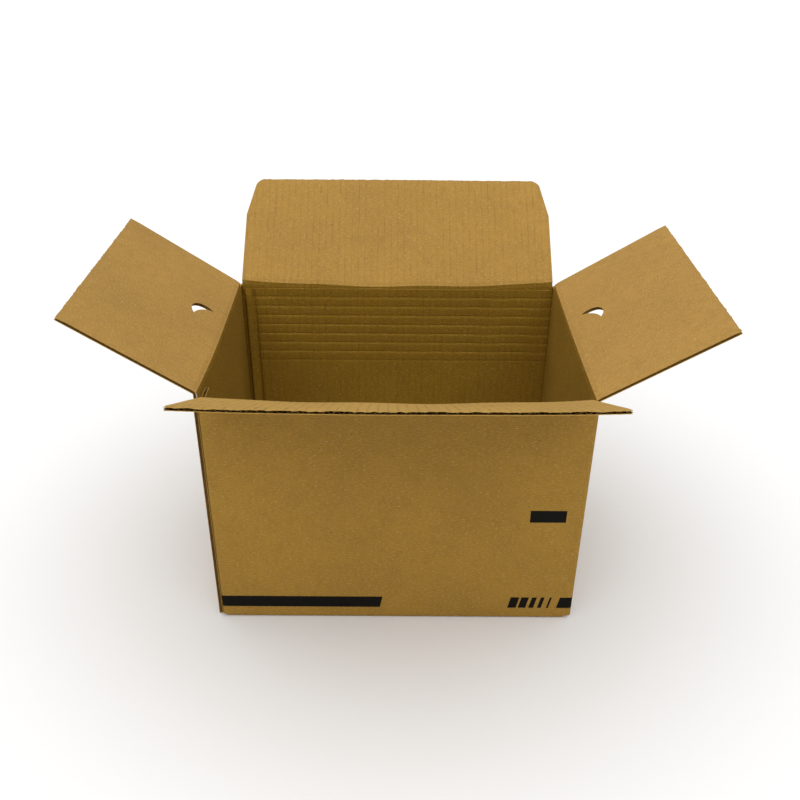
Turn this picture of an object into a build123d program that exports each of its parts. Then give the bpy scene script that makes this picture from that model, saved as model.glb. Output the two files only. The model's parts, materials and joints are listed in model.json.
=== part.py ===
"""Open slotted box of corrugated board, millimetres, +Z up.

The origin is the middle of the resting plane. The front wall faces -Y and the back wall +Y.
Walls, glue tab and closed bottom flaps are one folded sheet. The four top flaps are pieces of
their own, because each one turns about its fold. A strip of tape holds the bottom flaps shut.
"""

import os
from collections import namedtuple
from math import cos, pi, radians, sin

from build123d import *

os.makedirs("parts", exist_ok=True)

# The board: two liners with a wavy medium between them, its waves running up the walls.
board = 3.0
liner = 0.3
medium = 0.3
wave_pitch = 6.5

# The box.
inner_width = 305.0
inner_depth = 223.0
wall_height = 223.5
corner_radius = 2.5

# Folds. A fold's axis is the line where the two outer faces meet.
fold_clearance = 0.15
score_zone = 6.0
layer_clearance = 0.2
slot_depth_past_score = 1.0

# Top flaps: how far each rises above level, in degrees, and the slots that part them, each
# measured from the inner corner to the flap's end. A pair of flaps would meet at the middle.
front_rise = 28.0
back_rise = 38.5
left_rise = 33.5
right_rise = 32.0
front_flap_slot = 4.5
back_flap_slot = 1.0
side_flap_front_slot = 1.25
side_flap_back_slot = 4.25
meeting_gap = 0.6

# The back flap narrows from its shoulders to a round-cornered edge.
shoulder_drop = 42.0
shoulder_taper = 9.0
back_edge_radius = 10.0

# A crescent cut in each side flap, placed from the fold and from the flap's middle.
crescent_radius = 12.8
crescent_reach = 19.0
crescent_offset = 18.3
crescent_bite_radius = 26.5
crescent_bite_distance = 22.0
crescent_turn = 38.0

# Score lines pressed into the back wall's inner face.
score_count = 9
score_pitch = 10.0
first_score_drop = 6.3
upright_score_inset = 11.5
score_width = 2.0
score_depth = 0.6

# The glued seam at the front left corner.
tab_width = 30.0
tab_clearance = 0.3
tab_bottom = 10.0
tab_slope = 1.2
seam_recess = 0.6

# Bottom.
bottom_flap_slot = 3.5
bottom_side_clearance = 1.5
bottom_meeting_gap = 1.0
tape_thickness = 0.12
tape_width = 50.0
tape_tail = 45.0

# Worked out from the sizes above.
outer_width = inner_width + 2 * board
outer_depth = inner_depth + 2 * board
flap_length = (outer_depth - meeting_gap) / 2
front_flap_width = inner_width - 2 * front_flap_slot
back_flap_width = inner_width - 2 * back_flap_slot
back_edge_width = back_flap_width - 2 * shoulder_taper
side_flap_width = inner_depth - side_flap_front_slot - side_flap_back_slot
side_flap_shift = (side_flap_back_slot - side_flap_front_slot) / 2
bottom_flap_width = inner_width - 2 * bottom_flap_slot
side_fold_height = wall_height - board - layer_clearance
slot_floor = side_fold_height - slot_depth_past_score
tab_top = side_fold_height - board - tab_clearance
ring_bottom = tape_thickness + board + layer_clearance
wave_gap = board - 2 * liner
up = Vector(0, 0, 1)

front = Vector(0, -1, 0)
back = Vector(0, 1, 0)
left = Vector(-1, 0, 0)
right = Vector(1, 0, 0)

# A top fold: its wall's outward direction, the axis's distance and height, the flap's rise and
# width, and how far the flap's middle lies towards the front.
Fold = namedtuple("Fold", "outward distance height rise width shift")
side_fold = (outer_width / 2, side_fold_height)
folds = {
    "front_flap": Fold(front, outer_depth / 2, wall_height, front_rise, front_flap_width, 0),
    "back_flap": Fold(back, outer_depth / 2, wall_height, back_rise, back_flap_width, 0),
    "left_flap": Fold(left, *side_fold, left_rise, side_flap_width, side_flap_shift),
    "right_flap": Fold(right, *side_fold, right_rise, side_flap_width, side_flap_shift),
}


def wave_channel():
    """The air space under one crest of the medium, its base on Y = 0 and its middle at X = 0."""
    swing = (wave_gap - medium) / 2
    half_base = 0.45 * wave_pitch
    station_pitch = 0.15 * wave_pitch
    stations = [station_pitch * step for step in range(-2, 3)]
    crest = [(x, swing * (1 + cos(2 * pi * x / wave_pitch))) for x in stations]
    with BuildSketch() as channel:
        with BuildLine():
            Spline((-half_base, 0), *crest, (half_base, 0))
            Line((half_base, 0), (-half_base, 0))
        make_face()
    return channel.sketch


def board_section(width):
    """A cut across the waves: outer face on Y = 0, inner face on Y = board, middle at X = 0."""
    waves = int(width / wave_pitch)
    first = -(waves - 1) * wave_pitch / 2
    channel = wave_channel()
    with BuildSketch() as section:
        with Locations((0, board / 2)):
            Rectangle(width, board)
        with Locations(*[(first + wave_pitch * i, liner) for i in range(waves)]):
            add(channel, mode=Mode.SUBTRACT)
        valleys = [(first + wave_pitch * (i - 0.5), board - liner) for i in range(waves + 1)]
        with Locations(*[Location((x, y, 0), (0, 0, 180)) for x, y in valleys]):
            add(channel, mode=Mode.SUBTRACT)
    return section.sketch


def fold_frame(fold):
    """A fold's middle, the direction along it, and the direction out along its raised flap."""
    middle = fold.outward * fold.distance + up * fold.height + front * fold.shift
    along = up.cross(fold.outward)
    reach = fold.outward * cos(radians(fold.rise)) + up * sin(radians(fold.rise))
    return middle, along, reach


def top_flap(fold):
    """A flap as it stands open: fluted board from its free edge to a solid, mitred root."""
    middle, along, reach = fold_frame(fold)
    with BuildPart() as flap:
        with BuildSketch(Plane(middle + reach * score_zone, x_dir=along, z_dir=reach)):
            add(board_section(fold.width))
        extrude(amount=flap_length - score_zone)
        with BuildSketch(Plane(middle, x_dir=reach, z_dir=along)):
            with BuildLine():
                Polyline(
                    (fold_clearance, 0),
                    (fold_clearance + board, -board),
                    (score_zone, -board),
                    (score_zone, 0),
                    close=True,
                )
            make_face()
        extrude(amount=fold.width / 2, both=True)
    return flap


# ---- Top flaps ----

front_flap = top_flap(folds["front_flap"])
front_flap.part.label = "front_flap"
export_step(front_flap.part, "parts/front_flap.step")

back_board = top_flap(folds["back_flap"])
back_middle, back_along, back_reach = fold_frame(folds["back_flap"])
with BuildPart() as back_flap:
    add(back_board.part)
    with BuildSketch(Plane(back_middle, x_dir=back_along, z_dir=back_along.cross(back_reach))):
        with BuildLine():
            Polyline(
                (-back_flap_width / 2, 0),
                (-back_flap_width / 2, flap_length - shoulder_drop),
                (-back_edge_width / 2, flap_length),
                (back_edge_width / 2, flap_length),
                (back_flap_width / 2, flap_length - shoulder_drop),
                (back_flap_width / 2, 0),
                close=True,
            )
        outline = make_face()
        fillet(outline.vertices().group_by(Axis.Y)[-1], radius=back_edge_radius)
    extrude(amount=2 * board, both=True, mode=Mode.INTERSECT)
back_flap.part.label = "back_flap"
export_step(back_flap.part, "parts/back_flap.step")

for name in ("left_flap", "right_flap"):
    plain_flap = top_flap(folds[name])
    middle, along, reach = fold_frame(folds[name])
    with BuildPart() as side_flap:
        add(plain_flap.part)
        with BuildSketch(Plane(middle, x_dir=reach, z_dir=reach.cross(back))):
            with Locations((crescent_reach, crescent_offset)):
                Circle(crescent_radius)
                with PolarLocations(crescent_bite_distance, 1, start_angle=180 + crescent_turn):
                    Circle(crescent_bite_radius, mode=Mode.SUBTRACT)
        extrude(amount=2 * board, both=True, mode=Mode.SUBTRACT)
    side_flap.part.label = name
    export_step(side_flap.part, f"parts/{name}.step")

# ---- Walls, glue tab and bottom flaps: one folded sheet ----

with BuildPart() as box_body:
    # Walls, cut level with the slots. The front left corner is a glued seam, not a fold.
    with BuildSketch(Plane.XY.offset(ring_bottom)):
        outer = Rectangle(outer_width, outer_depth)
        seam_corner = outer.vertices().sort_by(lambda v: v.X + v.Y)[0]
        fillet([v for v in outer.vertices() if v != seam_corner], radius=corner_radius)
        Rectangle(inner_width, inner_depth, mode=Mode.SUBTRACT)
        with Locations((-outer_width / 2, -outer_depth / 2)):
            Rectangle(board, seam_recess, align=(Align.MIN, Align.MIN), mode=Mode.SUBTRACT)
        with Locations((-inner_width / 2, -outer_depth / 2)):
            Rectangle(corner_radius, corner_radius, align=(Align.MIN, Align.MIN), mode=Mode.SUBTRACT)
        with Locations((corner_radius - inner_width / 2, corner_radius - outer_depth / 2)):
            Circle(corner_radius)
        with Locations(Location((-outer_width / 2 + liner, seam_recess - outer_depth / 2, 0), (0, 0, -90))):
            add(wave_channel(), mode=Mode.SUBTRACT)
    extrude(amount=slot_floor - ring_bottom)

    # The side walls turn under with a round edge.
    with BuildSketch(Plane.XZ):
        for side in (-1, 1):
            with Locations((side * outer_width / 2, ring_bottom)):
                Rectangle(2 * corner_radius, 2 * corner_radius)
            with Locations((side * (outer_width / 2 - corner_radius), ring_bottom + corner_radius)):
                Circle(corner_radius, mode=Mode.SUBTRACT)
    extrude(amount=outer_depth, both=True, mode=Mode.SUBTRACT)

    # Wall tops, mitred so that each flap can lie level across the box.
    for fold in folds.values():
        middle, along, reach = fold_frame(fold)
        wall_plane = Plane(middle, x_dir=fold.outward, z_dir=-along)
        with BuildSketch(wall_plane):
            with Locations((-board / 2, -board)):
                Rectangle(board, 2 * board)
        extrude(amount=fold.width / 2, both=True)
        with BuildSketch(wall_plane):
            with BuildLine():
                Polyline(
                    (board, board - fold_clearance),
                    (-2 * board, -2 * board - fold_clearance),
                    (-2 * board, 2 * board),
                    (board, 2 * board),
                    close=True,
                )
            make_face()
        extrude(amount=fold.width / 2, both=True, mode=Mode.SUBTRACT)

    # Bottom flaps of the side walls, one board above the resting ones.
    for side in (-1, 1):
        with BuildSketch(Plane.XY.offset(ring_bottom)):
            with Locations((side * (outer_width / 2 - corner_radius), 0)):
                Rectangle(
                    flap_length - corner_radius,
                    inner_depth - 2 * bottom_side_clearance,
                    align=(Align.MIN if side < 0 else Align.MAX, Align.CENTER),
                )
        extrude(amount=board)

    # Bottom flaps of the front and back walls, with the walls' lower edges.
    for side in (-1, 1):
        with BuildSketch(Plane.YZ):
            with BuildLine():
                Polyline(
                    (side * outer_depth / 2, ring_bottom),
                    (side * outer_depth / 2, tape_thickness),
                    (side * bottom_meeting_gap / 2, tape_thickness),
                    (side * bottom_meeting_gap / 2, tape_thickness + board),
                    (side * inner_depth / 2, tape_thickness + board),
                    (side * inner_depth / 2, ring_bottom),
                    close=True,
                )
            bend = make_face()
            outer_bend = bend.vertices().sort_by(lambda v: v.Y - side * v.X)[0]
            fillet(outer_bend, radius=corner_radius)
        extrude(amount=bottom_flap_width / 2, both=True)

    # Glue tab inside the left wall: fluted right through, its top cut on a slight slope just
    # below the closed left flap.
    with BuildSketch(Plane.XY.offset(tab_bottom)):
        with Locations(Location((-inner_width / 2 + board, (tab_width - inner_depth) / 2, 0), (0, 0, 90))):
            add(board_section(tab_width))
    extrude(amount=tab_top - tab_bottom)
    with BuildSketch(Plane.YZ.offset(-inner_width / 2)):
        with BuildLine():
            Polyline(
                (-inner_depth / 2, tab_top),
                (tab_width - inner_depth / 2 + board, tab_top - tab_slope),
                (tab_width - inner_depth / 2 + board, wall_height),
                (-inner_depth / 2, wall_height),
                close=True,
            )
        make_face()
    extrude(amount=2 * board, mode=Mode.SUBTRACT)

    # Score lines across the back wall, and one upright line near its left corner.
    groove = [(score_width / 2, 0), (0, score_depth), (-score_width / 2, 0), (0, -score_depth)]
    with BuildSketch(Plane.YZ):
        for line in range(score_count):
            line_height = wall_height - first_score_drop - line * score_pitch
            with Locations(Location((inner_depth / 2, line_height, 0), (0, 0, 90))):
                Polygon(*groove, align=None)
    extrude(amount=inner_width / 2, both=True, mode=Mode.SUBTRACT)
    with BuildSketch(Plane.XY.offset(ring_bottom + board)):
        with Locations((-inner_width / 2 + upright_score_inset, inner_depth / 2)):
            Polygon(*groove, align=None)
    extrude(amount=wall_height, mode=Mode.SUBTRACT)
box_body.part.label = "box_body"
export_step(box_body.part, "parts/box_body.step")

# ---- Bottom tape, with a tail up each side wall ----

with BuildPart() as bottom_tape:
    with BuildSketch(Plane.XZ):
        with Locations((0, tape_tail / 2)):
            strip = Rectangle(outer_width + 2 * tape_thickness, tape_tail)
        fillet(strip.vertices().group_by(Axis.Y)[0], radius=corner_radius + tape_thickness)
        with BuildSketch(mode=Mode.SUBTRACT):
            with Locations((0, tape_thickness + tape_tail / 2)):
                hollow = Rectangle(outer_width, tape_tail)
            fillet(hollow.vertices().group_by(Axis.Y)[0], radius=corner_radius)
    extrude(amount=tape_width / 2, both=True)
bottom_tape.part.label = "bottom_tape"
export_step(bottom_tape.part, "parts/bottom_tape.step")
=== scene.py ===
"""Looks of an open slotted box of corrugated board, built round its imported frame, in metres."""

import json
from collections import namedtuple
from math import atan2, cos, pi, radians, sin, sqrt, tan

import bpy
from mathutils import Matrix, Vector, noise


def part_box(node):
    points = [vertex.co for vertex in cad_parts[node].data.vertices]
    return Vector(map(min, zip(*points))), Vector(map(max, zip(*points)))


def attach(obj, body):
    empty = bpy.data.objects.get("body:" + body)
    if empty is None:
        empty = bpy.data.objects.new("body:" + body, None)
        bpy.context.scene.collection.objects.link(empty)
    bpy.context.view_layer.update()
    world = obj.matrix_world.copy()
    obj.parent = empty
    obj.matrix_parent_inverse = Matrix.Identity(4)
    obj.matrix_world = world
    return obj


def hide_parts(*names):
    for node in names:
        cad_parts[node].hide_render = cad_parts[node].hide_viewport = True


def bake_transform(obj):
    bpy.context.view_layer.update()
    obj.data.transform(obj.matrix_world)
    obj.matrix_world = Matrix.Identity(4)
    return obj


bl_info = {
    "name": "Open slotted box",
    "version": (1, 0, 0),
    "blender": (4, 5, 0),
    "location": "View3D > Sidebar > Box",
    "description": "Builds an open box of corrugated board with its folds, cut edges and print",
    "category": "Object",
}

MM = 0.001
UP = Vector((0, 0, 1))

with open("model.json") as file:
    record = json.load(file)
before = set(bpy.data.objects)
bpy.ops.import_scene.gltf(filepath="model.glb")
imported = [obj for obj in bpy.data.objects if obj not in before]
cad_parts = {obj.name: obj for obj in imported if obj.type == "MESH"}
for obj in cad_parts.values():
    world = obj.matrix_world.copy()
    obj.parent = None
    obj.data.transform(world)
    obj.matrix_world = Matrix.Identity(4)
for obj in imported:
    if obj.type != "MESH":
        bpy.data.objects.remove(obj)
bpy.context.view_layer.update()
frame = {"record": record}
folds_in_frame = {joint["child"]: joint for joint in frame["record"]["behaviour"]["joints"]}
body_low, body_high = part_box("box_body")
tape_low, tape_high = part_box("bottom_tape")
node_boxes = {node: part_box(node) for node in folds_in_frame}


# ---- Sizes and colours ----


def length(label, millimetres, description):
    """A length that the panel shows."""
    return bpy.props.FloatProperty(
        name=label, description=description, default=millimetres * MM, subtype="DISTANCE"
    )


def colour(label, default, description):
    """A colour that the panel shows."""
    return bpy.props.FloatVectorProperty(
        name=label, description=description, default=default, subtype="COLOR", min=0, max=1
    )


class BoardSizes(bpy.types.PropertyGroup):
    """The corrugated board."""

    thickness: length("Board", 3.0, "Thickness of the board")
    liner: length("Liner", 0.34, "Thickness of each liner")
    medium: length("Medium", 0.3, "Thickness of the wavy medium")
    pitch: length("Wave pitch", 6.5, "Length of one wave of the medium")
    washboard: length("Washboard", 0.055, "How far the liners dip between the waves")


class BoxSizes(bpy.types.PropertyGroup):
    """The box and its folds."""

    corner_radius: length("Corner radius", 2.5, "Rounding of the upright folds")
    root_drop: length("Root drop", 8.0, "How far below a fold its flap's sheet begins")
    slot_past_score: length("Slot depth", 1.0, "How far the slots run past the lower folds")
    score_count: bpy.props.IntProperty(
        name="Score lines", description="Level score lines across the back wall", default=9
    )
    score_pitch: length("Score pitch", 10.0, "Distance between score lines")
    score_drop: length("First score", 6.8, "First score line, below the back fold")
    upright_score: length("Upright score", 11.5, "Upright score line, from the back left corner")


class Colours(bpy.types.PropertyGroup):
    """Colours of the board, its ink and the tape."""

    kraft: colour("Board", (0.368, 0.2, 0.031), "Usual colour of the board")
    pale: colour("Pale fibres", (0.55, 0.36, 0.14), "Colour of pale fibres and torn paper")
    dark: colour("Dark fibres", (0.14, 0.07, 0.015), "Colour of dark specks")
    ink: colour("Ink", (0.004, 0.003, 0.0015), "Colour of the printed stripe")
    tape: colour("Tape", (0.3, 0.165, 0.045), "Colour of the paper tape")


def board():
    return bpy.context.scene.carton_board


def sizes():
    return bpy.context.scene.carton_box


def colours():
    return bpy.context.scene.carton_colours


# ---- Materials ----


def new_material(name, base_colour, roughness):
    """An empty opaque material and its shader node."""
    material = bpy.data.materials.new(name)
    material.use_nodes = True
    shader = material.node_tree.nodes["Principled BSDF"]
    shader.inputs["Base Color"].default_value = (*base_colour, 1)
    shader.inputs["Roughness"].default_value = roughness
    return material, shader


def add_node(material, kind, links=None, values=None, **settings):
    """A node with its settings, its plain values and its links from other nodes' sockets."""
    node = material.node_tree.nodes.new(kind)
    for key, value in settings.items():
        setattr(node, key, value)
    for socket, value in (values or {}).items():
        node.inputs[socket].default_value = value
    for socket, source in (links or {}).items():
        material.node_tree.links.new(source, node.inputs[socket])
    return node


def noise_on(material, coordinates, scale, stretch=(1, 1, 1), detail=3.0, roughness=0.55):
    """The grey value of a noise whose pattern is stretched along the axes of the coordinates."""
    mapping = add_node(
        material, "ShaderNodeMapping", {"Vector": coordinates}, {"Scale": stretch}, vector_type="POINT"
    )
    pattern = add_node(
        material, "ShaderNodeTexNoise", {"Vector": mapping.outputs["Vector"]},
        {"Scale": scale, "Detail": detail, "Roughness": roughness},
    )
    return pattern.outputs["Fac"]


def to_range(material, value, low, high, out_low=0.0, out_high=1.0):
    """A value mapped from one range to another, held inside it."""
    node = add_node(
        material, "ShaderNodeMapRange", {"Value": value},
        {"From Min": low, "From Max": high, "To Min": out_low, "To Max": out_high},
    )
    return node.outputs["Result"]


def mix_colours(material, factor, first, second):
    """A mix of two colours, each a socket or a plain colour."""
    node = add_node(material, "ShaderNodeMix", data_type="RGBA")
    links = material.node_tree.links
    links.new(factor, node.inputs[0])
    for socket, tone in ((node.inputs[6], first), (node.inputs[7], second)):
        if isinstance(tone, bpy.types.NodeSocket):
            links.new(tone, socket)
        else:
            socket.default_value = (*tone, 1)
    return node.outputs[2]


def maths(material, operation, first, second):
    """A sum done on two values, each a socket or a plain number."""
    node = add_node(material, "ShaderNodeMath", operation=operation)
    for socket, value in zip(node.inputs, (first, second)):
        if isinstance(value, bpy.types.NodeSocket):
            material.node_tree.links.new(value, socket)
        else:
            socket.default_value = value
    return node.outputs[0]


def kraft_material(name, tint, lines):
    """Brown liner paper: clouds, flecks, specks and, over the waves of the medium, broken dark lines."""
    hue = [c * share for c, share in zip(colours().kraft, tint)]
    material, shader = new_material(name, hue, 0.8)
    shader.inputs["Specular IOR Level"].default_value = 0.3
    place = add_node(material, "ShaderNodeTexCoord").outputs["Object"]
    flat = add_node(material, "ShaderNodeUVMap", uv_map="board").outputs["UV"]

    clouds = noise_on(material, place, 14.0, detail=3.0)
    patches = noise_on(material, place, 110.0, detail=3.0, roughness=0.65)
    fibres = noise_on(material, flat, 330.0, (1, 3.0, 1), detail=3.0, roughness=0.65)
    strands = noise_on(material, flat, 210.0, (1, 5.0, 1), detail=2.0)
    grain = noise_on(material, flat, 1000.0, (1, 1.6, 1), detail=2.0)
    spots = noise_on(material, place, 430.0, detail=1.0)

    shade = mix_colours(
        material, to_range(material, clouds, 0.35, 0.65), [c * 0.95 for c in hue], [c * 1.05 for c in hue]
    )
    # each layer: its pattern, the range of it that shows, its strength and its colour
    layers = (
        (patches, 0.42, 0.68, 0.36, [c * 0.74 for c in hue]),
        (fibres, 0.52, 0.7, 0.5, tuple(colours().pale)),
        (strands, 0.62, 0.72, 0.6, tuple(colours().pale)),
        (grain, 0.48, 0.22, 0.4, [c * 0.55 for c in hue]),
        (spots, 0.74, 0.78, 0.7, tuple(colours().dark)),
    )
    for pattern, low, high, strength, tone in layers:
        factor = to_range(material, pattern, low, high, 0.0, strength)
        shade = mix_colours(material, factor, shade, tone)
    if lines:
        across = add_node(material, "ShaderNodeSeparateXYZ", {"Vector": flat}).outputs["X"]
        turn = maths(material, "MULTIPLY", across, 2 * pi / board().pitch)
        crest = to_range(material, maths(material, "COSINE", turn, 0.0), 0.55, 1.0)
        breaks = noise_on(material, flat, 240.0, (1, 0.3, 1), detail=3.0, roughness=0.7)
        dark = maths(material, "MULTIPLY", crest, to_range(material, breaks, 0.44, 0.66, 0.1, 1.0))
        shade = mix_colours(
            material, maths(material, "MULTIPLY", dark, lines), shade, [c * 0.5 for c in hue]
        )
    material.node_tree.links.new(shade, shader.inputs["Base Color"])

    height = maths(material, "ADD", maths(material, "MULTIPLY", fibres, 0.6), grain)
    bump = add_node(
        material, "ShaderNodeBump", {"Height": height}, {"Strength": 0.4, "Distance": 0.00015}
    )
    material.node_tree.links.new(bump.outputs["Normal"], shader.inputs["Normal"])
    return material


def ink_material():
    """Black ink printed on board: nearly solid, with the fibres showing through a little."""
    material, shader = new_material("printed_ink", colours().ink, 0.7)
    shader.inputs["Specular IOR Level"].default_value = 0.12
    place = add_node(material, "ShaderNodeTexCoord").outputs["Object"]
    fibres = noise_on(material, place, 700.0, detail=3.0)
    shade = mix_colours(
        material, to_range(material, fibres, 0.6, 0.8, 0.0, 0.2), tuple(colours().ink),
        [c * 0.2 for c in colours().kraft],
    )
    material.node_tree.links.new(shade, shader.inputs["Base Color"])
    return material


def tape_material():
    """Brown paper tape with a faint sheen and crosswise fibres."""
    material, shader = new_material("brown_tape", colours().tape, 0.5)
    shader.inputs["Specular IOR Level"].default_value = 0.45
    place = add_node(material, "ShaderNodeTexCoord").outputs["Object"]
    fibres = noise_on(material, place, 500.0, (0.4, 2.5, 1), detail=3.0)
    shade = mix_colours(
        material, to_range(material, fibres, 0.35, 0.7), [c * 0.88 for c in colours().tape],
        [c * 1.1 for c in colours().tape],
    )
    material.node_tree.links.new(shade, shader.inputs["Base Color"])
    bump = add_node(material, "ShaderNodeBump", {"Height": fibres}, {"Strength": 0.2, "Distance": 0.0001})
    material.node_tree.links.new(bump.outputs["Normal"], shader.inputs["Normal"])
    return material


# Copies of the board's colour, some holding painted light: each one's red, green and blue as shares of
# the board's usual colour, and how strongly its waves show as broken dark lines.
BOARD_TINTS_WITH_PAINTED_LIGHT = {
    "kraft_outside": ((1.0, 1.0, 0.75), 0.0),
    # a darker, much less blue copy for the inner faces inside the box: painted shade
    "kraft_deep": ((0.8, 0.83, 0.2), 0.4),
    # lighter, bluer copies for the top flaps' inner faces: painted sheen
    "kraft_inside": ((1.02, 1.04, 1.15), 0.4),
    "kraft_plain": ((1.0, 1.03, 1.4), 0.06),
    "kraft_lined": ((1.1, 1.2, 1.7), 0.95),
    "board_edge": ((1.4, 1.55, 2.2), 0.0),
    "board_medium": ((0.5, 0.45, 0.4), 0.0),
}


def material_named(name):
    """A material of this file, made when it is first asked for."""
    if name in bpy.data.materials:
        return bpy.data.materials[name]
    if name == "printed_ink":
        return ink_material()
    if name == "brown_tape":
        return tape_material()
    return kraft_material(name, *BOARD_TINTS_WITH_PAINTED_LIGHT[name])


# ---- Sheets ----


def steps(start, end, pitch):
    """Evenly spaced values from start to end, about one pitch apart."""
    count = max(1, round(abs(end - start) / pitch))
    return [start + (end - start) * i / count for i in range(count + 1)]


def sheet(name, across, along, place, material, flip=False):
    """A sheet with a point for each value across and along, put where place(u, v) says.

    Its UV map, called board, holds the two values.
    """
    columns = list(reversed(across)) if flip else list(across)
    bpy.ops.object.select_all(action="DESELECT")
    bpy.ops.mesh.primitive_grid_add(
        x_subdivisions=len(columns) - 1, y_subdivisions=len(along) - 1, size=1
    )
    made = bpy.context.object
    made.name = name
    made.data.name = name
    pairs = [(u, v) for v in along for u in columns]
    points = [place(u, v) for u, v in pairs]
    made.data.vertices.foreach_set("co", [c for point in points for c in point])
    layer = made.data.uv_layers[0]
    layer.name = "board"
    corners = [0] * len(made.data.loops)
    made.data.loops.foreach_get("vertex_index", corners)
    layer.data.foreach_set("uv", [c for corner in corners for c in pairs[corner]])
    made.data.materials.append(material_named(material))
    made.data.update()
    return made


def choose(*pieces):
    """Selects these pieces and nothing else. The first one becomes active."""
    bpy.ops.object.select_all(action="DESELECT")
    for piece in pieces:
        piece.select_set(True)
    bpy.context.view_layer.objects.active = pieces[0]


def apply_modifier(made, kind, **settings):
    """Adds a modifier with these settings and applies it."""
    choose(made)
    modifier = made.modifiers.new(kind, kind)
    for key, value in settings.items():
        setattr(modifier, key, value)
    bpy.ops.object.modifier_apply(modifier=modifier.name)
    return made


def thicken(made, thickness, offset=-1.0, rim=None):
    """Gives a sheet its thickness. The rim can have a material of its own.

    The rim's material follows once for each material of the faces, so that one offset fits them all.
    """
    shift = 0
    if rim:
        shift = len(made.data.materials)
        for _ in range(shift):
            made.data.materials.append(material_named(rim))
    return apply_modifier(
        made, "SOLIDIFY", thickness=thickness, offset=offset, material_offset_rim=shift
    )


def join(name, made):
    """Joins pieces into one."""
    choose(*made)
    bpy.ops.object.join()
    made[0].name = name
    made[0].data.name = name
    return made[0]


def smooth(made, degrees=32):
    """Smooth shading, apart from edges sharper than this."""
    choose(made)
    bpy.ops.object.shade_smooth_by_angle(angle=radians(degrees))
    return made


def prism(outline, plane, depth):
    """A closed prism over an outline, standing both ways from a plane (origin, x, y)."""
    origin, x_way, y_way = plane
    z_way = x_way.cross(y_way)
    bpy.ops.object.select_all(action="DESELECT")
    bpy.ops.mesh.primitive_circle_add(vertices=len(outline), fill_type="NGON")
    made = bpy.context.object
    base = origin - z_way * depth / 2
    for vertex, (x, y) in zip(made.data.vertices, outline):
        vertex.co = base + x_way * x + y_way * y
    bpy.ops.object.mode_set(mode="EDIT")
    bpy.ops.mesh.select_all(action="SELECT")
    bpy.ops.mesh.extrude_region_move(TRANSFORM_OT_translate={"value": z_way * depth})
    bpy.ops.mesh.select_all(action="SELECT")
    bpy.ops.mesh.normals_make_consistent(inside=False)
    bpy.ops.object.mode_set(mode="OBJECT")
    return made


def cut(made, cutter, keep_inside=False):
    """Takes a cutter out of a piece, or keeps only what is inside the cutter."""
    cutter.data.materials.clear()
    apply_modifier(
        made, "BOOLEAN", object=cutter, solver="MANIFOLD",
        operation="INTERSECT" if keep_inside else "DIFFERENCE",
    )
    bpy.data.objects.remove(cutter)
    return made


def stands_for(made, body, nodes):
    """The piece is shown in place of these nodes, under its body when it has one."""
    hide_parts(*nodes)
    if body:
        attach(made, body)


# ---- Folds ----

# A fold runs along a line on the outer face. The sheet comes up to it along wall_way and leaves it
# along flap_way, and the board's depth is measured from the outer face. line says how far past the
# hinge the board really bends, relief how far its inner face stands in, and warp how the flap bows.
Fold = namedtuple("Fold", "middle along wall_way flap_way span zone crush line warp relief")
# how far in from a flap's free edge the cut has pressed the board thinner
PRESSED = 9 * MM


def bell(x):
    """1 in the middle, falling to 0 at -1 and 1."""
    return 0.5 + 0.5 * cos(pi * max(-1.0, min(1.0, x)))


def wave(position):
    """-1 to 1 over the waves of the medium: 1 where it touches the inner liner."""
    return cos(2 * pi * position / board().pitch)


def ripple(point, size, amount):
    """A smooth, uneven rise and fall about as wide as size."""
    return amount * noise.noise(Vector(point) / size)


def unwarped(fold, share, reach):
    """No bow or twist."""
    return Vector((0, 0, 0))


def on_hinge(share):
    """The board bends along its hinge."""
    return 0.0


def no_relief(fold, s, r):
    """No score lines."""
    return 0.0


def sagging(amount):
    """A fold line that hangs below its hinge between its ends."""
    return lambda share: -amount * (1 - share * share) ** 0.8 * (1 + 0.12 * sin(9 * share))


def lifted(first, last):
    """A fold line that rises above its hinge towards its two ends."""
    return lambda share: (last * max(0.0, share) ** 2) + (first * max(0.0, -share) ** 2)


def free_edge(fold, r):
    """0 to 1 over the last stretch of a top flap, where the cut has pressed the board thinner."""
    return 0.0 if fold.warp is unwarped else bell(min(0.0, (r - flap_length()) / PRESSED))


def share_along(fold, s):
    """-1 at the low end of a fold, 1 at its high end."""
    low, high = fold.span
    return (2 * s - low - high) / (high - low)


def sheet_point(fold, s, r, depth):
    """A point of a folded sheet: s along the fold, r past it, and depth from 0 (outer) to 1."""
    share = share_along(fold, s)
    line = fold.line(share)
    past = past_line(line, r)
    zone = fold.zone
    if past >= zone:
        base = fold.flap_way * past
        tangent = fold.flap_way
    elif past <= -zone:
        base = fold.wall_way * past
        tangent = fold.wall_way
    else:
        k = (past + zone) / (2 * zone)
        base = fold.flap_way * (zone * k * k) - fold.wall_way * (zone * (1 - k) ** 2)
        tangent = (fold.wall_way * (1 - k) + fold.flap_way * k).normalized()
    base = base + fold.wall_way * line
    if past > 0:
        base = base - fold.wall_way * line * past / flap_length()
    normal = tangent.cross(fold.along)
    mitre = 1 / max(tangent.dot(fold.wall_way), tangent.dot(fold.flap_way))
    squeeze = squeezed(fold, s, r, past)
    deep = depth * mitre * (board().thickness * squeeze + fold.relief(fold, s, past + line))
    deep += board().washboard * wave(s)
    point = fold.middle + fold.along * s + base + normal * deep
    return point + (fold.warp(fold, share, past) if past > 0 else Vector((0, 0, 0)))


def past_line(line, r):
    """How far past the real fold line a row lies. The lowest row of a sheet stays where it is."""
    return r if r > 0 else r - line * min(1.0, -r / sizes().root_drop)


def squeezed(fold, s, r, past):
    """The board's thickness at a point, as a share of its full thickness."""
    rough = noise.noise(Vector((s / (4 * MM), fold.middle.x * 31 + fold.middle.y * 17, 0.5)))
    at_fold = 1 - fold.crush * bell(past / (3 * MM))
    return at_fold * (1 - free_edge(fold, r) * (0.2 + 0.2 * rough))


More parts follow.
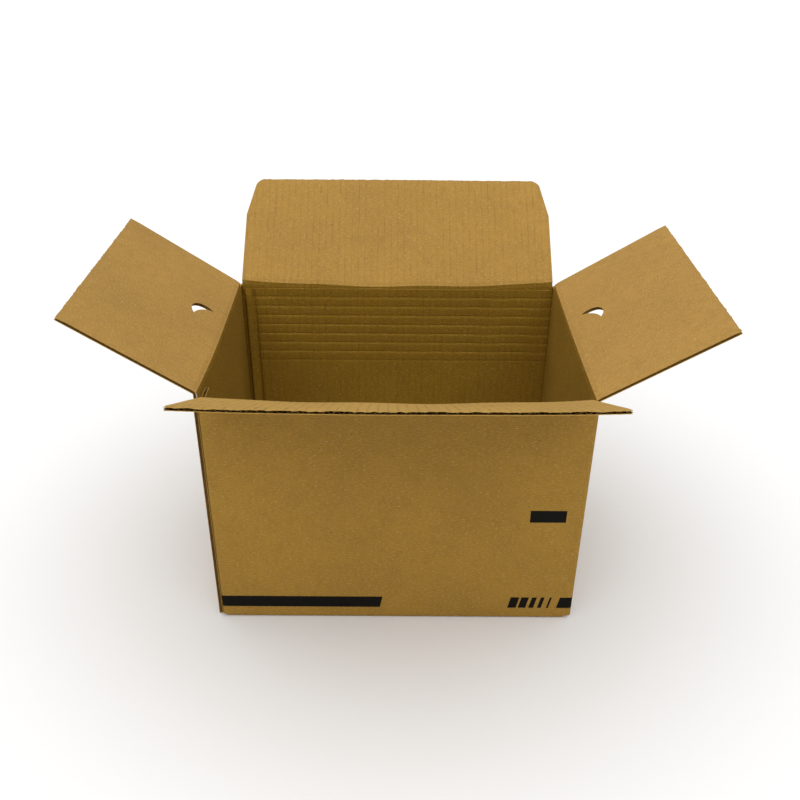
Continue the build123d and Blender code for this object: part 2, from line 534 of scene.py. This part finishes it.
def medium_depth(squeeze=1.0):
    """How far from the middle the medium swings, as a share of the board."""
    room = board().thickness * squeeze - 2 * board().liner - board().medium
    return max(0.05, (room / 2 - 0.02 * MM) / board().thickness)


def open_board(name, fold, start, end, fine_rows, coarse_pitch, inside):
    """Board with its cut edges open to view: two liners and the wavy medium between them."""
    low, high = fold.span
    across = steps(low, high, board().pitch / 4)
    across_fine = steps(low, high, board().pitch / 10)
    plain_rows = steps(start, end - 8 * MM, coarse_pitch)
    rows = fine_rows + [r for r in plain_rows if r > fine_rows[-1] + 1 * MM]
    rows += [end - 5 * MM, end - 2.5 * MM, end]

    def frayed(r, s, seed):
        rough = noise.noise(Vector((s / (2.6 * MM), seed, fold.middle.x * 23 + fold.middle.y * 41)))
        return r + free_edge(fold, r) * 0.55 * MM * rough if r > end - 1 * MM else r

    outer = sheet(
        f"{name}_outer", across, rows, lambda s, r: sheet_point(fold, s, frayed(r, s, 1.7), 0.0),
        "kraft_outside",
    )
    thicken(outer, board().liner, rim="board_edge")
    inner = sheet(
        f"{name}_inner", across, rows, lambda s, r: sheet_point(fold, s, frayed(r, s, 5.1), 1.0),
        inside, flip=True,
    )
    if inside != "kraft_deep":
        # the strip under the fold takes the darker copy of the board that the wall's inner face has,
        # painted shade
        inner.data.materials.append(material_named("kraft_deep"))
        below = sum(1 for r in rows if r <= 0) - 1
        for polygon in inner.data.polygons[: below * (len(across) - 1)]:
            polygon.material_index = 1
    thicken(inner, board().liner, rim="board_edge")

    def medium_point(s, r):
        line = fold.line(share_along(fold, s))
        squeeze = squeezed(fold, s, r, past_line(line, r))
        rough = noise.noise(Vector((s / (5 * MM), 3.3, fold.middle.y * 9)))
        torn = free_edge(fold, r) * (0.5 + rough) * 1.6 * MM
        return sheet_point(fold, s, r - max(0.0, torn), 0.5 + wave(s) * medium_depth(squeeze) / squeeze)

    medium = sheet(f"{name}_medium", across_fine, rows, medium_point, "board_medium")
    thicken(medium, board().medium, offset=0.0)
    return [outer, inner, medium]


def flap_ends(node, along):
    """Where a flap begins and ends along its fold."""
    return tuple(sorted(Vector(corner).dot(along) for corner in node_boxes[node]))


def top_fold(node, line, warp, relief=no_relief):
    """The fold of a top flap, from its joint and its node's box."""
    joint = folds_in_frame[node]
    middle = Vector(joint["pos_m"])
    outward = UP.cross(Vector(joint["axis"]))
    rise = radians(180 - joint["range_deg"][1])
    along = UP.cross(outward)
    reach = outward * cos(rise) + UP * sin(rise)
    span = flap_ends(node, along)
    return Fold(middle, along, UP, reach, span, 0.9 * MM, 0.1, line, warp, relief)


def crease_rows():
    """Rows close together over a fold."""
    return steps(-sizes().root_drop, 7 * MM, 0.5 * MM)


def flap_length():
    """Half the depth of the box, so that a pair of flaps meets at the middle."""
    return (body_high[1] - body_low[1] - 0.6 * MM) / 2


# ---- Warps of the top flaps: sideways, along the reach, and up off the flap ----


def tilt_warp(tips, bow, belly):
    """A warp from the lifts and slides of the two outer corners, the bow of the free edge and the
    belly of the whole flap. tips is ((slide, stretch, lift) at the low end, the same at the high)."""

    def warp(fold, share, reach):
        out = reach / flap_length()
        normal = fold.flap_way.cross(fold.along)
        first, second = (Vector(tip) * MM for tip in tips)
        mixed = first.lerp(second, (share + 1) / 2) * out
        arch = (1 - share * share) * (bow * out * out + belly * 4 * out * (1 - out)) * MM
        rough = ripple((share * 1.7, out * 1.3, fold.middle.x * 9), 1.0, 0.5 * MM) * out
        return fold.along * mixed.x + fold.flap_way * mixed.y + normal * (mixed.z + arch + rough)

    return warp


STRAIGHT = ((0, 0, 0), (0, 0, 0))


# ---- Top flaps ----


def front_fold():
    warp = tilt_warp(((0, 0, 0), (1.5, 0, 0)), -2.2, 0.0)
    return top_fold("front_flap", sagging(4.5 * MM), warp)


def back_fold():
    def scored(fold, s, r):
        return score_relief(-s, fold.middle.z + r) if r < fold.line(0) - 1 * MM else 0.0

    return top_fold("back_flap", sagging(6.0 * MM), tilt_warp(STRAIGHT, 0.0, 0.3), scored)


def left_fold():
    warp = tilt_warp(((0, 1, 2), (0, 2, 5)), 0.0, 0.8)
    return top_fold("left_flap", lifted(1.5 * MM, 6.5 * MM), warp)


def right_fold():
    warp = tilt_warp(((0, 1, 0), (0, 1, 2)), 0.0, 0.8)
    return top_fold("right_flap", lifted(2.0 * MM, 2.0 * MM), warp)


# the inner face of each top flap takes a lighter, bluer copy of the board, painted sheen
INSIDE_OF = {
    "front_flap": "kraft_lined",
    "back_flap": "kraft_inside",
    "left_flap": "kraft_plain",
    "right_flap": "kraft_plain",
}
TOP_FOLDS = {
    "front_flap": front_fold,
    "back_flap": back_fold,
    "left_flap": left_fold,
    "right_flap": right_fold,
}


def crescent(fold):
    """The outline of the crescent cut, as points along and past the fold."""
    radius, bite_radius, bite_distance = 12.8 * MM, 26.5 * MM, 22.0 * MM
    reach, towards_back = 19.0 * MM, 16.8 * MM
    turn = radians(38)
    side = 1 if fold.along.y > 0 else -1
    # the horns, where the two circles cross, seen from the middle of the cut
    to_horns = (bite_distance**2 + radius**2 - bite_radius**2) / (2 * bite_distance)
    half_chord = sqrt(radius**2 - to_horns**2)
    horn = atan2(half_chord, to_horns)
    bite_horn = atan2(half_chord, bite_distance - to_horns)
    outline = []
    for angle in steps(horn, 2 * pi - horn, radians(12)):
        outline.append((radius * cos(angle), radius * sin(angle)))
    for angle in steps(pi + bite_horn, pi - bite_horn, radians(5))[1:-1]:
        outline.append((bite_distance + bite_radius * cos(angle), bite_radius * sin(angle)))
    turned = pi + turn
    points = []
    for x, y in outline:
        past = reach + x * cos(turned) - y * sin(turned)
        back = towards_back + x * sin(turned) + y * cos(turned)
        points.append((side * back, past))
    return points


def build_flap(node, name):
    """A top flap with its fold and the strip of wall below the fold."""
    fold = TOP_FOLDS[node]()
    drop = sizes().root_drop
    layers = open_board(name, fold, -drop, flap_length(), crease_rows(), 9 * MM, INSIDE_OF[node])
    flat = (fold.middle, fold.along, fold.flap_way)
    for layer in layers:
        if node in ("left_flap", "right_flap"):
            cut(layer, prism(crescent(fold), flat, 16 * MM))
        if node == "back_flap":
            cut(layer, prism(back_outline(fold), flat, 90 * MM), keep_inside=True)
    made = smooth(join(name, layers))
    stands_for(made, None, [node])
    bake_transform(made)
    return made


def build_top_flaps():
    """The four raised top flaps."""
    for node in TOP_FOLDS:
        build_flap(node, f"{node}_board")


SHOULDER_DROP, SHOULDER_TAPER = 42 * MM, 9 * MM


def back_outline(fold):
    """The back flap's outline: straight sides to the shoulders, then a narrower, round edge."""
    low, high = fold.span
    end = flap_length()
    radius = 10 * MM
    below = 40 * MM
    lean = atan2(SHOULDER_TAPER, SHOULDER_DROP)
    centre = (high - SHOULDER_TAPER - radius * (1 - sin(lean)) / cos(lean), end - radius)
    right = [(high + 1 * MM, -below), (high + 1 * MM, -1 * MM), (high, end - SHOULDER_DROP)]
    for angle in steps(lean, pi / 2, radians(9)):
        right.append((centre[0] + radius * cos(angle), centre[1] + radius * sin(angle)))
    middle = (low + high) / 2
    left = [(2 * middle - x, y) for x, y in reversed(right)]
    return right + left


# ---- Walls ----

# Where the walls stand in plan: a point of the outer face, the inner point behind it, the outward
# direction, the place along the wall, and the wall's name (None in a corner).
Station = namedtuple("Station", "outer inner outward s wall")

WALLS = (
    ("front_flap", Vector((0, -1, 0))),
    ("right_flap", Vector((1, 0, 0))),
    ("back_flap", Vector((0, 1, 0))),
    ("left_flap", Vector((-1, 0, 0))),
)
# how deep the inner corners are pressed in, and the heights that the walls' plain rows lie between
VALLEY = 0.8 * MM
ROWS_FROM, ROWS_TO = 12 * MM, 212 * MM
# The bottom flaps: the tape under them, the underside of the front and back ones and of the side ones,
# half their lengths along the folds, and how far up the wall each one's sheet begins.
TAPE = 0.12 * MM
LOW_FLAP = TAPE
HIGH_FLAP = LOW_FLAP + 3.2 * MM
HALF_LONG, HALF_SHORT = 149 * MM, 110 * MM
BOTTOM_ROOT = 6 * MM


def half_size(outward):
    """Distance from the middle to the outer face of the wall that faces this way."""
    return abs(outward.dot(Vector(body_high)))


def wall_breaks(node, reach):
    """Places along a wall: one to each quarter wave, with a pair at each end of its flap."""
    along = UP.cross(dict(WALLS)[node])
    ends = flap_ends(node, along)
    bottom_end = HALF_LONG if abs(along.x) > 0.5 else HALF_SHORT
    special = [*ends, -bottom_end, bottom_end]
    first, last = reach
    plain = steps(first, last, board().pitch / 4)
    if node == "back_flap":
        creased = (last - 17 * MM, last)
        plain = [s for s in plain if s < creased[0]] + steps(*creased, 0.8 * MM)
    kept = [s for s in plain if all(abs(s - e) > 0.4 * MM for e in special)]
    pairs = [e + d for e in special for d in (-0.02 * MM, 0.02 * MM)]
    return sorted(kept + pairs)


def stations():
    """Plan stations from the rounded left edge of the front wall round to the left wall's raw end."""
    radius = sizes().corner_radius
    thick = board().thickness
    made = []
    # the front wall's left edge, where it turns in to the glue tab
    half_width = half_size(Vector((1, 0, 0)))
    half_depth = half_size(Vector((0, 1, 0)))
    centre = Vector((-half_width + thick + radius, -half_depth + radius, 0))
    inner = Vector((-half_width + 2 * thick, -half_depth + thick, 0))
    for angle in steps(pi, 1.5 * pi, radians(18))[:-1]:
        outward = Vector((cos(angle), sin(angle), 0))
        made.append(Station(centre + outward * radius, inner, outward, -half_width + thick, None))
    for index, (node, outward) in enumerate(WALLS):
        along = UP.cross(outward)
        half_run = half_size(along)
        first, last = -half_run + radius, half_run - radius
        if index == 0:
            first = -half_width + thick + radius
        if index == 3:
            last = half_run - 0.6 * MM
        for s in wall_breaks(node, (first, last)):
            clear = max(-half_run + thick, min(half_run - thick, s))
            if index == 3:
                clear = max(-half_run + thick, s)
            outer_point = outward * half_size(outward) + along * s
            inner_point = outward * (half_size(outward) - thick) + along * clear
            if clear != s:
                inner_point += outward * VALLEY + along * (VALLEY if s > 0 else -VALLEY)
            made.append(Station(outer_point, inner_point, outward, s, node))
        if index < 3:
            corner = outward * (half_size(outward) - radius) + along * (half_run - radius)
            inner_corner = outward * (half_size(outward) - thick + VALLEY)
            inner_corner += along * (half_run - thick + VALLEY)
            for turn in steps(0, pi / 2, radians(18))[1:-1]:
                way = outward * cos(turn) + along * sin(turn)
                made.append(Station(corner + way * radius, inner_corner, way, half_run, None))
    return made


def top_of_wall(station):
    """The upper end of the wall sheet: under a flap's root, or the floor of a slot."""
    slot_floor = Vector(folds_in_frame["left_flap"]["pos_m"]).z - sizes().slot_past_score
    if station.wall:
        first, last = flap_ends(station.wall, UP.cross(station.outward))
        if first < station.s < last:
            return folds_in_frame[station.wall]["pos_m"][2] - sizes().root_drop
    return slot_floor


def bottom_of_wall(station):
    """The lower end of the wall sheet: over a bottom flap's root, or the end of a slot."""
    if station.wall in ("front_flap", "back_flap") and abs(station.s) < HALF_LONG:
        return BOTTOM_ROOT
    if station.wall in ("left_flap", "right_flap") and abs(station.s) < HALF_SHORT:
        return HIGH_FLAP + BOTTOM_ROOT
    return HIGH_FLAP


def wall_bow(station, z):
    """How far a wall stands out of its plane, a gentle unevenness that fades at the corners."""
    if not station.wall:
        return 0.0
    share = station.s / half_size(UP.cross(station.outward))
    fade = max(0.0, 1 - share**4) * bell((z / body_high[2] - 0.5) * 2)
    return fade * ripple((station.outer.x, station.outer.y, z), 60 * MM, 0.5 * MM)


def score_relief(x, z):
    """How far the back wall's inner face stands in (+) or is pressed back (-) by its scores."""
    box = sizes()
    top = folds_in_frame["back_flap"]["pos_m"][2]
    inner_left = -half_size(Vector((1, 0, 0))) + board().thickness
    waver = ripple((x, 0, z / 3), 22 * MM, 0.7 * MM)
    down = top - box.score_drop - z + waver
    off = x - inner_left - box.upright_score
    relief = 0.0
    end = (box.score_count - 1) * box.score_pitch
    if -box.score_pitch < down < end + box.score_pitch:
        nearest = min(max(round(down / box.score_pitch), 0), box.score_count - 1)
        from_line = down - nearest * box.score_pitch
        relief -= 0.34 * MM * bell(from_line / (1.2 * MM))
        if 0 < down < end:
            phase = (down % box.score_pitch) / box.score_pitch
            relief += 0.27 * MM * sin(pi * phase**0.6) * (1 - 0.35 * phase)
    if off < 0:
        relief *= 0.3
    near_top = max(0.0, min(1.0, (top - 8 * MM - z) / (7 * MM)))
    from_corner = off + box.upright_score
    strip = 0.0
    if off < 0:
        ramp = max(0.0, min(1.0, (from_corner - 2.2 * MM) / (1.6 * MM)))
        strip = -1.4 * MM + ramp * 4.0 * MM * (1 - 0.62 * from_corner / box.upright_score)
    strip -= 1.9 * MM * bell(off / (2.8 * MM))
    return relief + strip * near_top


def wall_rows(fine=False):
    """Heights of the rows between a wall's lower and upper ends."""
    if fine:
        scores_from = 120 * MM
        coarse = steps(ROWS_FROM, scores_from, 12 * MM)
        return coarse + steps(scores_from, ROWS_TO, 1.0 * MM)[1:]
    return steps(ROWS_FROM, ROWS_TO, 12.5 * MM)


def skin(name, around, rows, inside, material):
    """The outer or inner face of the walls. The end rows follow the walls' ends."""

    def place(column, row):
        station = around[int(column)]
        if row == 0:
            z = bottom_of_wall(station)
        elif row == len(rows) + 1:
            z = top_of_wall(station)
        else:
            z = rows[int(row) - 1]
        base = station.inner if inside else station.outer
        relief = wall_bow(station, z)
        if station.wall:
            relief += -board().washboard * wave(station.s)
        if inside and station.wall == "back_flap":
            relief -= score_relief(station.outer.x, z)
        point = base + station.outward * relief
        return Vector((point.x, point.y, z))

    columns = list(range(len(around)))
    made = sheet(name, columns, list(range(len(rows) + 2)), place, material, flip=inside)
    relabel(made, around, columns, inside)
    return made


def relabel(made, around, columns, inside):
    """Sets the UV map from the real places along and up the wall."""
    order = list(reversed(columns)) if inside else columns
    width = len(order)
    corners = [0] * len(made.data.loops)
    made.data.loops.foreach_get("vertex_index", corners)
    heights = [v.co.z for v in made.data.vertices]
    uv = []
    for corner in corners:
        station = around[order[corner % width]]
        uv += [station.s, heights[corner]]
    made.data.uv_layers[0].data.foreach_set("uv", uv)


def cap(name, around, height_of, upwards):
    """Closes the walls' upper or lower ends, between the outer and inner faces."""

    def place(column, row):
        station = around[int(column)]
        point = station.inner if row else station.outer
        if station.wall:
            point = point + station.outward * (-board().washboard * wave(station.s))
        return Vector((point.x, point.y, height_of(station)))

    return sheet(name, list(range(len(around))), [0, 1], place, "board_edge", flip=not upwards)


def end_strip(name, station, facing, inward=None):
    """Closes the sheet at one end of the walls. A raw end has its medium set back between the liners."""
    between = steps(ROWS_FROM, ROWS_TO, 1.6 * MM)
    rows = [bottom_of_wall(station), *between, top_of_wall(station)]
    rim = board().liner / board().thickness
    plan = [(0.0, 0), (1.0, 0)]
    if inward:
        plan = [(0.0, 0), (rim, 0), (rim, 1), (0.5, 1), (1 - rim, 1), (1 - rim, 0), (1.0, 0)]

    def place(column, z):
        depth, sunk = plan[int(column)]
        point = station.outer.lerp(station.inner, depth)
        if inward:
            rough = noise.noise(Vector((z / (3 * MM), depth * 2, 0.3)))
            point = point + inward * (sunk * (2.2 + 1.1 * rough) + 0.35 * rough) * MM
            if depth == 0.5:
                point += (station.inner - station.outer) * 0.3 * sin(z / (2.4 * MM))
        return Vector((point.x, point.y, z))

    made = sheet(name, list(range(len(plan))), rows, place, "board_edge", flip=facing)
    if inward:
        made.data.materials.append(material_named("board_medium"))
        for polygon in made.data.polygons:
            columns = [plan[i % len(plan)][1] for i in polygon.vertices]
            polygon.material_index = 1 if any(columns) else 0
    return made


def build_walls():
    """The four walls as one sheet, from the glued seam round to the left wall's raw end."""
    around = stations()
    back = [i for i, station in enumerate(around) if station.wall == "back_flap"]
    first, last = back[0], back[-1]
    right = [i for i, station in enumerate(around) if station.wall == "right_flap"][0]
    rows = wall_rows()
    printed = skin("walls_outer_front", around[: right + 1], rows, False, "kraft_outside")
    print_on_front(printed)
    parts = [
        printed,
        skin("walls_outer", around[right:], rows, False, "kraft_outside"),
        # the inner faces take the darker copy of the board: painted shade inside the box
        skin("walls_inner_a", around[: first + 1], rows, True, "kraft_deep"),
        skin("walls_inner_b", around[last:], rows, True, "kraft_deep"),
        skin("walls_inner_back", around[first : last + 1], wall_rows(fine=True), True, "kraft_deep"),
        cap("walls_top", around, top_of_wall, True),
        cap("walls_bottom", around, bottom_of_wall, False),
        end_strip("walls_start", around[0], True),
        end_strip("walls_end", around[-1], False, Vector((0, 1, 0))),
    ]
    made = smooth(join("box_walls", parts), degrees=40)
    stands_for(made, "box", ["box_body"])
    return made


# ---- Print ----

# On the front wall: how far the print leans, the stripe's lower and upper edges, where its left part
# ends and its right part begins, each bar's left edge and width in mm, and the plain block's left,
# right, lower and upper edges.
INK_LEAN = radians(11.5)
STRIPE = (12.2 * MM, 24.4 * MM)
STRIPE_GAP = (-13.7 * MM, 141.7 * MM)
BARS = ((98.6, 7.5), (107.9, 6.6), (117.2, 4.3), (124.9, 3.3), (132.8, 1.8))
PLAIN_BLOCK = (110.7 * MM, 140.6 * MM, 107.9 * MM, 120.2 * MM)


def front_faces(made, low, high):
    """Selects the outer faces of the front wall that reach into a rectangle (x, z)."""
    outer = -half_size(Vector((0, 1, 0)))
    for polygon in made.data.polygons:
        corners = [made.data.vertices[i].co for i in polygon.vertices]
        near = polygon.normal.y < -0.7 and all(abs(c.y - outer) < 2.6 * MM for c in corners)
        polygon.select = (
            near
            and max(c.x for c in corners) > low[0]
            and min(c.x for c in corners) < high[0]
            and max(c.z for c in corners) > low[1]
            and min(c.z for c in corners) < high[1]
        )


def split_front(made, low, high, point, normal):
    """Cuts the front wall's outer faces along a plane, inside a rectangle."""
    choose(made)
    bpy.ops.object.mode_set(mode="EDIT")
    bpy.ops.mesh.select_mode(type="FACE")
    bpy.ops.mesh.select_all(action="DESELECT")
    bpy.ops.object.mode_set(mode="OBJECT")
    front_faces(made, low, high)
    bpy.ops.object.mode_set(mode="EDIT")
    bpy.ops.mesh.bisect(plane_co=point, plane_no=normal)
    bpy.ops.object.mode_set(mode="OBJECT")


def printed_block(made, left, right, bottom, top, lean, slot):
    """Prints a block whose left and right edges may lean, measured at its lower edge."""
    low = (left - 4 * MM, bottom)
    high = (right + 6 * MM, top)
    for z in (bottom, top):
        split_front(made, (low[0], z - 0.1 * MM), (high[0], z + 0.1 * MM), (0, 0, z), (0, 0, 1))
    for x, angle in ((left, lean[0]), (right, lean[1])):
        side = (x - 3 * MM, bottom + 0.05 * MM)
        other = (x + 6 * MM, top - 0.05 * MM)
        split_front(made, side, other, (x, 0, bottom), (cos(angle), 0, -sin(angle)))
    front_faces(made, low, high)
    for polygon in made.data.polygons:
        centre = polygon.center
        first, last = (
            x + (centre.z - bottom) * tan(angle) for x, angle in ((left, lean[0]), (right, lean[1]))
        )
        if polygon.select and first < centre.x < last and bottom < centre.z < top:
            polygon.material_index = slot


def print_on_front(made):
    """The stripe, the row of narrowing bars and the plain block, in black ink."""
    made.data.materials.append(material_named("printed_ink"))
    slot = len(made.data.materials) - 1
    past_edge = half_size(Vector((1, 0, 0))) + 2 * MM
    printed_block(made, -past_edge, STRIPE_GAP[0], *STRIPE, (0, INK_LEAN), slot)
    for left, width in BARS:
        printed_block(made, left * MM, (left + width) * MM, *STRIPE, (INK_LEAN, INK_LEAN), slot)
    printed_block(made, STRIPE_GAP[1], past_edge, *STRIPE, (INK_LEAN, 0), slot)
    printed_block(made, *PLAIN_BLOCK, (0, 0), slot)


# ---- Bottom ----


def bottom_fold(outward, height, half_span):
    """The fold of a bottom flap, which turns in under the box."""
    along = (-UP).cross(outward)
    middle = outward * half_size(outward) + UP * height
    span = (-half_span, half_span)
    return Fold(middle, along, -UP, -outward, span, 3.0 * MM, 0.25, on_hinge, unwarped, no_relief)


def build_bottom():
    """The four closed bottom flaps: the side ones lie on the front and back ones."""
    parts = []
    short = flap_length() - 0.2 * MM
    plans = (
        ("front", Vector((0, -1, 0)), LOW_FLAP, HALF_LONG, short),
        ("back", Vector((0, 1, 0)), LOW_FLAP, HALF_LONG, short),
        ("left", Vector((-1, 0, 0)), HIGH_FLAP, HALF_SHORT, flap_length()),
        ("right", Vector((1, 0, 0)), HIGH_FLAP, HALF_SHORT, flap_length()),
    )
    for name, outward, height, half_span, end in plans:
        fold = bottom_fold(outward, height, half_span)
        rows = steps(-BOTTOM_ROOT, 6 * MM, 2 * MM)
        # the inner faces take the darker copy of the board: painted shade inside the box
        parts += open_board(f"bottom_{name}", fold, -BOTTOM_ROOT, end, rows, 27 * MM, "kraft_deep")
    made = smooth(join("bottom_flaps", parts))
    stands_for(made, "box", ["box_body"])
    return made


def build_glue_tab():
    """The glue tab inside the left wall, its top edge open and cut on a slight slope."""
    thick = board().thickness
    inner = -half_size(Vector((1, 0, 0))) + thick
    front = -half_size(Vector((0, 1, 0))) + thick
    fold = Fold(
        Vector((inner, 0, 0)), Vector((0, -1, 0)), UP, UP,
        (-front - 30 * MM, -front), 0.001 * MM, 0.0, on_hinge, unwarped, no_relief,
    )
    # the tab ends one board and a small gap below the side fold
    low, high = 10 * MM, folds_in_frame["left_flap"]["pos_m"][2] - thick - 0.3 * MM

    def slope(s, r):
        share = (s - fold.span[0]) / (fold.span[1] - fold.span[0])
        return r if r < high - 5 * MM else r - (1 - share) * 1.2 * MM

    def face_at(depth):
        return lambda s, r: sheet_point(fold, s, slope(s, r), depth)

    def medium_point(s, r):
        return sheet_point(fold, s, slope(s, r), 0.5 + wave(s) * medium_depth())

    parts = []
    rows = steps(low, high, 14 * MM)
    across = steps(*fold.span, board().pitch / 4)
    fine = steps(*fold.span, board().pitch / 10)
    outer = sheet("tab_outer", across, rows, face_at(0), "kraft_outside")
    parts.append(thicken(outer, board().liner, rim="board_edge"))
    # the tab's inner face takes the darker copy of the board: painted shade inside the box
    inner_face = sheet("tab_inner", across, rows, face_at(1), "kraft_deep", flip=True)
    parts.append(thicken(inner_face, board().liner, rim="board_edge"))
    medium = sheet("tab_medium", fine, rows, medium_point, "board_medium")
    parts.append(thicken(medium, board().medium, offset=0.0))
    made = smooth(join("glue_tab", parts))
    stands_for(made, "box", ["box_body"])
    return made


def build_tape():
    """One strip of paper tape under the bottom, its ends turned up the side walls."""
    half, tail = tape_high[0], tape_high[2]
    radius = sizes().corner_radius + TAPE
    half_width = (tape_high[1] - tape_low[1]) / 2
    flat_half = half - radius
    quarter = pi / 2 * radius
    full = flat_half + quarter + tail - radius

    def place(y, along):
        way = 1 if along > 0 else -1
        run = abs(along)
        if run <= flat_half:
            x, z = run, 0.0
        elif run <= flat_half + quarter:
            turn = (run - flat_half) / radius
            x, z = flat_half + radius * sin(turn), radius * (1 - cos(turn))
        else:
            x, z = half, radius + run - flat_half - quarter
        return Vector((way * x, y, z))

    bend = steps(flat_half, flat_half + quarter, radians(15) * radius)
    rest = steps(flat_half + quarter, full, 6 * MM)[1:]
    out = steps(0, flat_half, 10 * MM)[:-1] + bend + rest
    rows = [-v for v in reversed(out[1:])] + out
    made = sheet("bottom_tape_strip", steps(-half_width, half_width, 5 * MM), rows, place, "brown_tape")
    thicken(made, TAPE)
    smooth(made)
    stands_for(made, "box", ["bottom_tape"])
    return made


# ---- Stage ----


def floor():
    """A pale floor that runs far back."""
    bpy.ops.object.select_all(action="DESELECT")
    bpy.ops.mesh.primitive_plane_add(size=60, location=(0, 0, -0.0002))
    made = bpy.context.object
    made.name = "floor"
    material, shader = new_material("pale_floor", (0.8, 0.8, 0.8), 0.9)
    shader.inputs["Specular IOR Level"].default_value = 0.1
    made.data.materials.append(material)


def lights():
    """Broad light from above and a little in front, and an even white surround."""
    bpy.ops.object.light_add(type="SUN", location=(0, -0.5, 2))
    lamp = bpy.context.object
    lamp.name = "soft_light"
    lamp.data.energy = 3.8
    lamp.data.angle = radians(100)
    lamp.rotation_euler = Vector((0.04, 0.1, -1)).to_track_quat("-Z", "Y").to_euler()
    world = bpy.data.worlds.new("surround")
    bpy.context.scene.world = world
    world.use_nodes = True
    nodes, links = world.node_tree.nodes, world.node_tree.links
    background = nodes["Background"]
    background.inputs["Color"].default_value = (1.0, 1.0, 1.0, 1)
    background.inputs["Strength"].default_value = 0.14
    white = nodes.new("ShaderNodeBackground")
    seen = nodes.new("ShaderNodeLightPath")
    mixed = nodes.new("ShaderNodeMixShader")
    links.new(seen.outputs["Is Camera Ray"], mixed.inputs["Fac"])
    links.new(background.outputs["Background"], mixed.inputs[1])
    links.new(white.outputs["Background"], mixed.inputs[2])
    links.new(mixed.outputs["Shader"], nodes["World Output"].inputs["Surface"])


def camera():
    """Looks down into the box from in front."""
    yaw, pitch, roll = radians(-0.34), radians(31.11), radians(0.58)
    sideways = Vector((cos(yaw), sin(yaw), 0))
    ahead = Vector((-sin(yaw) * cos(pitch), cos(yaw) * cos(pitch), -sin(pitch)))
    upward = sideways.cross(ahead)
    x_way = sideways * cos(roll) + upward * sin(roll)
    y_way = upward * cos(roll) - sideways * sin(roll)
    bpy.ops.object.camera_add()
    made = bpy.context.object
    made.name = "view"
    made.matrix_world = Matrix.Translation((-0.00116, -0.6972, 0.5771)) @ Matrix(
        (x_way, y_way, -ahead)
    ).transposed().to_4x4()
    made.data.lens = 40.35
    made.data.sensor_width = 36
    bpy.context.scene.camera = made
    bpy.context.scene.view_settings.view_transform = "Standard"


def build_stage():
    """The floor, the light and the camera."""
    floor()
    lights()
    camera()


# ---- Operators ----


def operator(name, label, description, build):
    """An operator that builds one part of the box or its stage."""

    def execute(self, context):
        build()
        return {"FINISHED"}

    members = {
        "bl_idname": f"carton.{name}", "bl_label": label, "bl_description": description,
        "execute": execute,
    }
    return type(f"CARTON_OT_{name}", (bpy.types.Operator,), members)


OPERATORS = (
    operator("stage", "Stage", "Make the floor, the light and the camera", build_stage),
    operator("walls", "Walls", "Build the four walls with the print on the front", build_walls),
    operator("top_flaps", "Top flaps", "Build the four raised flaps with their folds", build_top_flaps),
    operator("bottom", "Bottom flaps", "Build the closed bottom flaps", build_bottom),
    operator("glue_tab", "Glue tab", "Build the glue tab inside the left wall", build_glue_tab),
    operator("tape", "Tape", "Build the strip of tape under the bottom", build_tape),
)


class CARTON_PT_panel(bpy.types.Panel):
    """Buttons that build the box piece by piece"""

    bl_idname = "CARTON_PT_panel"
    bl_label = "Open slotted box"
    bl_space_type = "VIEW_3D"
    bl_region_type = "UI"
    bl_category = "Box"

    def draw(self, context):
        for group in (board(), sizes(), colours()):
            for name in group.bl_rna.properties.keys():
                if name not in ("rna_type", "name"):
                    self.layout.prop(group, name)
        for step in OPERATORS:
            self.layout.operator(step.bl_idname)


GROUPS = {"carton_board": BoardSizes, "carton_box": BoxSizes, "carton_colours": Colours}


def register():
    for group in GROUPS.values():
        bpy.utils.register_class(group)
    for step in OPERATORS:
        bpy.utils.register_class(step)
    bpy.utils.register_class(CARTON_PT_panel)
    for name, group in GROUPS.items():
        setattr(bpy.types.Scene, name, bpy.props.PointerProperty(type=group))


def unregister():
    for name in GROUPS:
        delattr(bpy.types.Scene, name)
    bpy.utils.unregister_class(CARTON_PT_panel)
    for step in reversed(OPERATORS):
        bpy.utils.unregister_class(step)
    for group in GROUPS.values():
        bpy.utils.unregister_class(group)


def main():
    register()
    bpy.ops.carton.stage()
    bpy.ops.carton.walls()
    bpy.ops.carton.top_flaps()
    bpy.ops.carton.bottom()
    bpy.ops.carton.glue_tab()
    bpy.ops.carton.tape()


if __name__ == "__main__":
    main()
